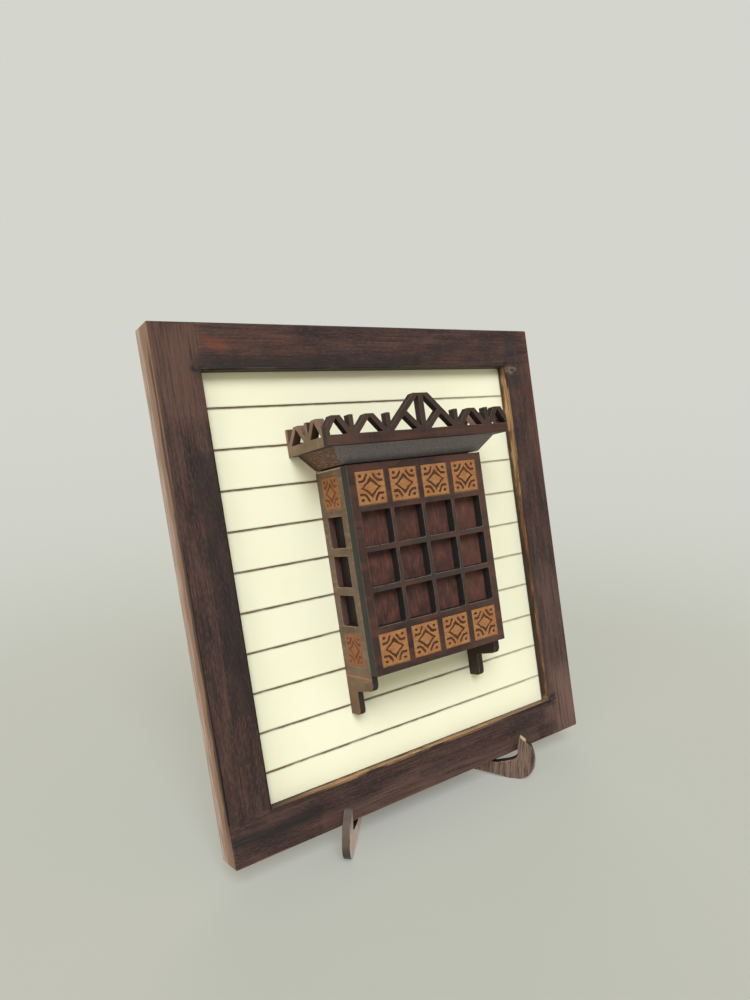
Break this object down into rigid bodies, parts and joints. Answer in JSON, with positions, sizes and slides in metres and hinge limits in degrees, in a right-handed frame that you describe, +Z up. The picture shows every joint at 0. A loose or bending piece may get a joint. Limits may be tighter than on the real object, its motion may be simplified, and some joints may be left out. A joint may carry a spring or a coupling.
{
  "type": "mashrabiya plaque on a stand",
  "caption": "Framed desk plaque with a projecting lattice window box, flared cornice and openwork crest, leaning on a slotted two-plate stand.",
  "frame": {"origin": "on the ground, in the middle of the object's overall box", "axes": "+Z up, +X to the right of the plaque, -Y towards the viewer in front; the plaque leans back towards +Y"},
  "size_m": [0.2, 0.0936, 0.2231],
  "materials": {
    "frame_wood": "brushed dark brown wood stain, satin",
    "ivory_board": "matt ivory paint with scored plank lines",
    "raw_board": "unpainted brown fibreboard",
    "lattice_wood": "dark purple brown stain, matt",
    "carved_tile": "orange tan engraved wood, matt",
    "side_wood": "grey brown stain, matt",
    "backing_wood": "reddish brown stain, matt",
    "soffit_wood": "grey brown stain, matt",
    "crest_wood": "dark brown stain, matt",
    "stand_wood": "striped brown wood grain, satin"
  },
  "bodies": {
    "root": {"back_panel": "raw_board", "backing_front": "backing_wood", "backing_left": "backing_wood", "backing_right": "backing_wood", "box_floor": "side_wood", "cornice_roof": "soffit_wood", "crest_front": "crest_wood", "crest_left": "crest_wood", "crest_right": "crest_wood", "frame_bottom_rail": "frame_wood", "frame_left_stile": "frame_wood", "frame_right_stile": "frame_wood", "frame_top_rail": "frame_wood", "front_tiles_lower": "carved_tile", "front_tiles_upper": "carved_tile", "lattice_front": "lattice_wood", "plank_board": "ivory_board", "side_panel_left": "side_wood", "side_panel_right": "side_wood", "side_tiles_left": "carved_tile", "side_tiles_right": "carved_tile", "soffit_front": "soffit_wood", "soffit_left": "soffit_wood", "soffit_right": "soffit_wood", "stand_plate_left": "stand_wood", "stand_plate_right": "stand_wood"}
  },
  "joints": []
}
